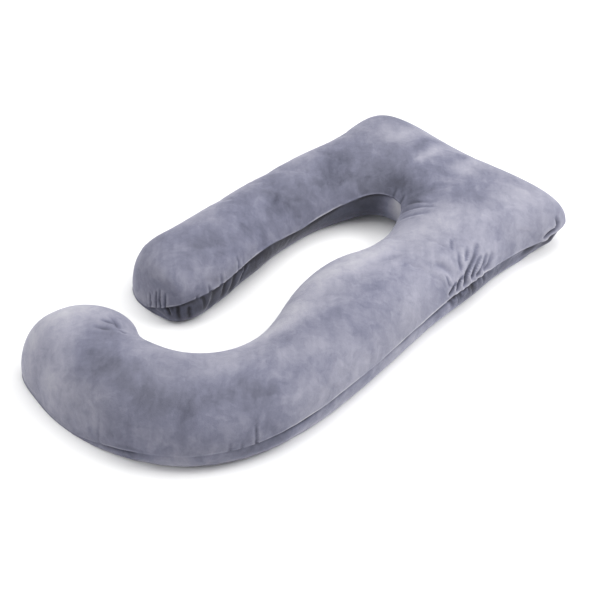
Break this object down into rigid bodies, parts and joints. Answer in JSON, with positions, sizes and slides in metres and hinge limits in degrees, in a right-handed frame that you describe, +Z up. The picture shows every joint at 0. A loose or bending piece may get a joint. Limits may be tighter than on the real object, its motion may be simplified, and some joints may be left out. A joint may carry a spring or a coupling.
{
  "type": "u-shaped pregnancy pillow",
  "caption": "Full-length pregnancy pillow in plush velvet: a U round head and back, with a short straight arm and a long arm that hooks round under the knees.",
  "frame": {"origin": "on the surface that the pillow lies on, under the middle of its outline", "axes": "+Z up, +Y towards the head end, where the two arms join, +X towards the long hooked arm"},
  "size_m": [0.7548, 1.446, 0.165],
  "materials": {
    "cover": "crushed plush velvet, grey-lavender, soft sheen"
  },
  "bodies": {
    "root": {"pillow": "cover"}
  },
  "joints": []
}
